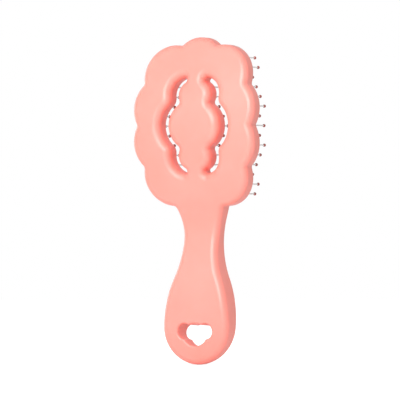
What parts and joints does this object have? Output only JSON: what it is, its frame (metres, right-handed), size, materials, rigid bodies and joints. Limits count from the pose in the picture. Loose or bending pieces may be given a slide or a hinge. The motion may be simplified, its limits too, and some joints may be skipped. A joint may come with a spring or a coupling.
{
  "type": "vanity hairbrush",
  "caption": "Cloud-shaped vented hairbrush with a bulb handle, hanging hole, sprung cushion and rows of ball-tipped pins.",
  "frame": {"origin": "centre of the brush's box at its lowest point, the end of the handle", "axes": "+Z along the brush from the handle's end to the head, +Y the way the pins point, +X to the right as seen from the back"},
  "size_m": [0.0798, 0.035, 0.191],
  "materials": {
    "shell": "satin",
    "cushion": "matte",
    "pin": "satin",
    "tip": "gloss"
  },
  "bodies": {
    "shells": {"back_shell": "shell", "front_shell": "shell"},
    "cushion": {"cushion_pad": "cushion"},
    "row_01": {"pins_row_01": "pin", "tips_row_01": "tip"},
    "row_02": {"pins_row_02": "pin", "tips_row_02": "tip"},
    "row_03": {"pins_row_03": "pin", "tips_row_03": "tip"},
    "row_04": {"pins_row_04": "pin", "tips_row_04": "tip"},
    "row_05": {"pins_row_05": "pin", "tips_row_05": "tip"},
    "row_06": {"pins_row_06": "pin", "tips_row_06": "tip"},
    "row_07": {"pins_row_07": "pin", "tips_row_07": "tip"},
    "row_08": {"pins_row_08": "pin", "tips_row_08": "tip"},
    "row_09": {"pins_row_09": "pin", "tips_row_09": "tip"},
    "row_10": {"pins_row_10": "pin", "tips_row_10": "tip"},
    "row_11": {"pins_row_11": "pin", "tips_row_11": "tip"},
    "row_12": {"pins_row_12": "pin", "tips_row_12": "tip"},
    "row_13": {"pins_row_13": "pin", "tips_row_13": "tip"},
    "row_14": {"pins_row_14": "pin", "tips_row_14": "tip"},
    "row_15": {"pins_row_15": "pin", "tips_row_15": "tip"}
  },
  "joints": [
    {"name": "cushion_give", "type": "slide", "parent": "shells", "child": "cushion", "axis": [0, 1, 0], "range_m": [-0.0015, 0], "stiffness_N_per_m": 1500, "deforming": ["cushion_pad"]},
    {"name": "row_01_rock", "type": "hinge", "parent": "cushion", "child": "row_01", "pos_m": [0, -0.00164, 0.09957], "axis": [1, 0, 0], "range_deg": [-7, 7], "stiffness_Nm_per_rad": 0.03, "deforming": ["cushion_pad"]},
    {"name": "row_02_rock", "type": "hinge", "parent": "cushion", "child": "row_02", "pos_m": [0, -0.00315, 0.10526], "axis": [1, 0, 0], "range_deg": [-7, 7], "stiffness_Nm_per_rad": 0.03, "deforming": ["cushion_pad"]},
    {"name": "row_03_rock", "type": "hinge", "parent": "cushion", "child": "row_03", "pos_m": [0, -0.00442, 0.11095], "axis": [1, 0, 0], "range_deg": [-7, 7], "stiffness_Nm_per_rad": 0.03, "deforming": ["cushion_pad"]},
    {"name": "row_04_rock", "type": "hinge", "parent": "cushion", "child": "row_04", "pos_m": [0, -0.00545, 0.11664], "axis": [1, 0, 0], "range_deg": [-7, 7], "stiffness_Nm_per_rad": 0.03, "deforming": ["cushion_pad"]},
    {"name": "row_05_rock", "type": "hinge", "parent": "cushion", "child": "row_05", "pos_m": [0, -0.00624, 0.12233], "axis": [1, 0, 0], "range_deg": [-7, 7], "stiffness_Nm_per_rad": 0.03, "deforming": ["cushion_pad"]},
    {"name": "row_06_rock", "type": "hinge", "parent": "cushion", "child": "row_06", "pos_m": [0, -0.00681, 0.12802], "axis": [1, 0, 0], "range_deg": [-7, 7], "stiffness_Nm_per_rad": 0.03, "deforming": ["cushion_pad"]},
    {"name": "row_07_rock", "type": "hinge", "parent": "cushion", "child": "row_07", "pos_m": [0, -0.00715, 0.13371], "axis": [1, 0, 0], "range_deg": [-7, 7], "stiffness_Nm_per_rad": 0.03, "deforming": ["cushion_pad"]},
    {"name": "row_08_rock", "type": "hinge", "parent": "cushion", "child": "row_08", "pos_m": [0, -0.00726, 0.1394], "axis": [1, 0, 0], "range_deg": [-7, 7], "stiffness_Nm_per_rad": 0.03, "deforming": ["cushion_pad"]},
    {"name": "row_09_rock", "type": "hinge", "parent": "cushion", "child": "row_09", "pos_m": [0, -0.00715, 0.14509], "axis": [1, 0, 0], "range_deg": [-7, 7], "stiffness_Nm_per_rad": 0.03, "deforming": ["cushion_pad"]},
    {"name": "row_10_rock", "type": "hinge", "parent": "cushion", "child": "row_10", "pos_m": [0, -0.00681, 0.15078], "axis": [1, 0, 0], "range_deg": [-7, 7], "stiffness_Nm_per_rad": 0.03, "deforming": ["cushion_pad"]},
    {"name": "row_11_rock", "type": "hinge", "parent": "cushion", "child": "row_11", "pos_m": [0, -0.00624, 0.15647], "axis": [1, 0, 0], "range_deg": [-7, 7], "stiffness_Nm_per_rad": 0.03, "deforming": ["cushion_pad"]},
    {"name": "row_12_rock", "type": "hinge", "parent": "cushion", "child": "row_12", "pos_m": [0, -0.00545, 0.16216], "axis": [1, 0, 0], "range_deg": [-7, 7], "stiffness_Nm_per_rad": 0.03, "deforming": ["cushion_pad"]},
    {"name": "row_13_rock", "type": "hinge", "parent": "cushion", "child": "row_13", "pos_m": [0, -0.00442, 0.16785], "axis": [1, 0, 0], "range_deg": [-7, 7], "stiffness_Nm_per_rad": 0.03, "deforming": ["cushion_pad"]},
    {"name": "row_14_rock", "type": "hinge", "parent": "cushion", "child": "row_14", "pos_m": [0, -0.00315, 0.17354], "axis": [1, 0, 0], "range_deg": [-7, 7], "stiffness_Nm_per_rad": 0.03, "deforming": ["cushion_pad"]},
    {"name": "row_15_rock", "type": "hinge", "parent": "cushion", "child": "row_15", "pos_m": [0, -0.00164, 0.17923], "axis": [1, 0, 0], "range_deg": [-7, 7], "stiffness_Nm_per_rad": 0.03, "deforming": ["cushion_pad"]}
  ]
}
